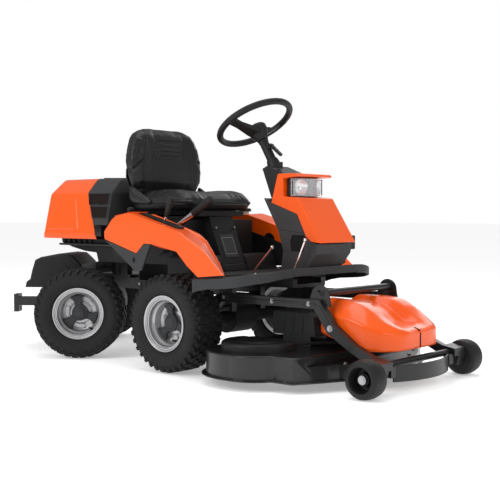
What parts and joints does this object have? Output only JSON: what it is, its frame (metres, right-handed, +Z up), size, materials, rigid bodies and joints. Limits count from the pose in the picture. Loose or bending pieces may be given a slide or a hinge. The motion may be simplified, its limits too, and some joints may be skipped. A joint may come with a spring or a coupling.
{
  "type": "riding lawn mower",
  "caption": "Articulated front-deck ride-on mower: rear axle module steers on a kingpin, seat and engine hood above, wheel-supported cutting deck in front.",
  "frame": {"origin": "on the ground, midway between the front tyres, below the front axle", "axes": "+X forward along the machine, +Y to its left, +Z up; rest pose has the rear module steered 40.24 degrees"},
  "size_m": [2.2945, 1.0994, 1.1379],
  "materials": {
    "steel_black": "satin black paint",
    "deck_black": "gloss black paint",
    "orange": "glossy orange",
    "grey_plastic": "fine grained dark grey",
    "black_plastic": "satin black",
    "seat_vinyl": "grained black vinyl",
    "rubber": "matte",
    "tyre": "matte",
    "rim_silver": "silver paint",
    "chrome": "polished",
    "steel": "brushed",
    "cast": "cast",
    "alloy": "cast alloy",
    "lens": "clear",
    "tank": "translucent white"
  },
  "bodies": {
    "chassis": {"main_frame": "steel_black", "front_transaxle": "cast", "engine_bed": "steel_black", "engine": "alloy", "battery": "black_plastic", "fuel_tank": "tank", "fender_right": "orange", "fender_left": "orange", "fender_trims": "grey_plastic", "lever_panel": "black_plastic", "seat_tower": "black_plastic", "footplate": "grey_plastic", "floor_mat": "rubber", "console_base": "grey_plastic", "console_cover": "orange", "dash_panel": "grey_plastic", "headlight_housing": "black_plastic", "headlight_lens": "lens", "steering_column": "steel_black"},
    "hood": {"hood": "orange", "hood_vent": "grey_plastic"},
    "fuel_cap": {"fuel_cap": "black_plastic"},
    "seat_carrier": {"seat_bracket": "steel_black"},
    "seat": {"seat_pan": "black_plastic", "seat_cushion": "seat_vinyl", "seat_backrest": "seat_vinyl"},
    "steering_wheel": {"steering_wheel": "black_plastic"},
    "column_lever": {"column_lever": "black_plastic"},
    "ignition_key": {"ignition_key": "black_plastic"},
    "lift_lever": {"lift_lever": "chrome"},
    "drive_lever": {"drive_lever": "chrome"},
    "throttle_lever": {"throttle_lever": "black_plastic"},
    "forward_pedal": {"forward_pedal": "chrome"},
    "reverse_pedal": {"reverse_pedal": "chrome"},
    "brake_pedal": {"brake_pedal": "rubber"},
    "rear_module": {"rear_carrier": "steel_black", "rear_transaxle": "cast", "tow_hitch": "steel_black", "rear_cover": "black_plastic"},
    "equipment_frame": {"equipment_frame": "steel_black", "support_axles": "steel", "front_bumper": "steel_black", "belt_cover": "orange"},
    "deck": {"deck_shell": "deck_black", "pulley_covers": "black_plastic", "deck_belt": "rubber", "belt_guard": "grey_plastic"},
    "blade_front": {"blade_front": "steel"},
    "blade_right": {"blade_right": "steel"},
    "blade_left": {"blade_left": "steel"},
    "support_wheel_right": {"support_wheel_right": "rubber"},
    "support_wheel_left": {"support_wheel_left": "rubber"},
    "wheel_front_right": {"tyre_front_right": "tyre", "rim_front_right": "rim_silver"},
    "wheel_front_left": {"tyre_front_left": "tyre", "rim_front_left": "rim_silver"},
    "wheel_rear_right": {"tyre_rear_right": "tyre", "rim_rear_right": "rim_silver"},
    "wheel_rear_left": {"tyre_rear_left": "tyre", "rim_rear_left": "rim_silver"}
  },
  "joints": [
    {"name": "spin_front_right", "type": "hinge", "parent": "chassis", "child": "wheel_front_right", "pos_m": [0, -0.372, 0.2035], "axis": [0, 1, 0], "continuous": true},
    {"name": "spin_front_left", "type": "hinge", "parent": "chassis", "child": "wheel_front_left", "pos_m": [0, 0.372, 0.2035], "axis": [0, 1, 0], "continuous": true},
    {"name": "spin_rear_right", "type": "hinge", "parent": "rear_module", "child": "wheel_rear_right", "pos_m": [-0.61669, -0.36859, 0.2035], "axis": [-0.646, 0.7633, 0], "continuous": true},
    {"name": "spin_rear_left", "type": "hinge", "parent": "rear_module", "child": "wheel_rear_left", "pos_m": [-1.09731, 0.19934, 0.2035], "axis": [-0.646, 0.7633, 0], "continuous": true},
    {"name": "rear_steer", "type": "hinge", "parent": "chassis", "child": "rear_module", "pos_m": [-0.757, 0, 0.4], "axis": [0, 0, 1], "range_deg": [-85, 5]},
    {"name": "steering_wheel_turn", "type": "hinge", "parent": "chassis", "child": "steering_wheel", "pos_m": [0.113, 0, 1.042], "axis": [-0.506, 0, 0.8625], "range_deg": [-40, 680]},
    {"name": "hood_open", "type": "hinge", "parent": "chassis", "child": "hood", "pos_m": [-1.01, 0, 0.545], "axis": [0, -1, 0], "range_deg": [0, 55]},
    {"name": "seat_tilt", "type": "hinge", "parent": "chassis", "child": "seat_carrier", "pos_m": [-0.105, 0, 0.645], "axis": [0, 1, 0], "range_deg": [0, 50]},
    {"name": "seat_adjust", "type": "slide", "parent": "seat_carrier", "child": "seat", "axis": [1, 0, 0], "range_m": [-0.015, 0.06]},
    {"name": "fuel_cap_turn", "type": "hinge", "parent": "chassis", "child": "fuel_cap", "pos_m": [-0.27, 0.371, 0.67], "axis": [0, 0, 1], "range_deg": [0, 90]},
    {"name": "column_clamp", "type": "hinge", "parent": "chassis", "child": "column_lever", "pos_m": [0.204, 0, 0.942], "axis": [0, -1, 0], "range_deg": [0, 60]},
    {"name": "key_turn", "type": "hinge", "parent": "chassis", "child": "ignition_key", "pos_m": [0.285, -0.038, 0.85], "axis": [0, 0, -1], "range_deg": [0, 60]},
    {"name": "deck_lift", "type": "hinge", "parent": "chassis", "child": "equipment_frame", "pos_m": [0.06, 0, 0.25], "axis": [0, -1, 0], "range_deg": [0, 8]},
    {"name": "lift_lever_pull", "type": "hinge", "parent": "chassis", "child": "lift_lever", "pos_m": [-0.118, -0.277, 0.576], "axis": [0, -1, 0], "range_deg": [0, 50]},
    {"name": "drive_lever_move", "type": "hinge", "parent": "chassis", "child": "drive_lever", "pos_m": [-0.101, -0.362, 0.545], "axis": [0, 1, 0], "range_deg": [-12, 12]},
    {"name": "throttle_move", "type": "hinge", "parent": "chassis", "child": "throttle_lever", "pos_m": [-0.282, -0.362, 0.622], "axis": [0, 1, 0], "range_deg": [-12, 12]},
    {"name": "forward_pedal_press", "type": "hinge", "parent": "chassis", "child": "forward_pedal", "pos_m": [0.272, -0.2, 0.413], "axis": [0, 1, 0], "range_deg": [0, 12], "stiffness_Nm_per_rad": 8, "springref_deg": -2.86},
    {"name": "reverse_pedal_press", "type": "hinge", "parent": "chassis", "child": "reverse_pedal", "pos_m": [0.452, -0.15, 0.434], "axis": [0, 1, 0], "range_deg": [0, 12], "stiffness_Nm_per_rad": 8, "springref_deg": -2.86},
    {"name": "brake_pedal_press", "type": "hinge", "parent": "chassis", "child": "brake_pedal", "pos_m": [0.424, 0.16, 0.445], "axis": [0, 1, 0], "range_deg": [0, 12], "stiffness_Nm_per_rad": 8, "springref_deg": -2.86},
    {"name": "cutting_height", "type": "slide", "parent": "equipment_frame", "child": "deck", "axis": [0, 0, 1], "range_m": [-0.025, 0.02]},
    {"name": "blade_spin_front", "type": "hinge", "parent": "deck", "child": "blade_front", "pos_m": [0.63, 0, 0.06], "axis": [0, 0, 1], "continuous": true},
    {"name": "blade_spin_right", "type": "hinge", "parent": "deck", "child": "blade_right", "pos_m": [0.415, -0.325, 0.06], "axis": [0, 0, 1], "continuous": true},
    {"name": "blade_spin_left", "type": "hinge", "parent": "deck", "child": "blade_left", "pos_m": [0.415, 0.325, 0.06], "axis": [0, 0, 1], "continuous": true},
    {"name": "support_spin_right", "type": "hinge", "parent": "equipment_frame", "child": "support_wheel_right", "pos_m": [0.928, -0.354, 0.0716], "axis": [0, 1, 0], "continuous": true},
    {"name": "support_spin_left", "type": "hinge", "parent": "equipment_frame", "child": "support_wheel_left", "pos_m": [0.928, 0.354, 0.0716], "axis": [0, 1, 0], "continuous": true}
  ],
  "couplings": [
    {"joint": "steering_wheel_turn", "follows": "rear_steer", "ratio": -8},
    {"joint": "lift_lever_pull", "follows": "deck_lift", "ratio": 6.25},
    {"joint": "blade_spin_right", "follows": "blade_spin_front", "ratio": 1},
    {"joint": "blade_spin_left", "follows": "blade_spin_front", "ratio": 1}
  ]
}
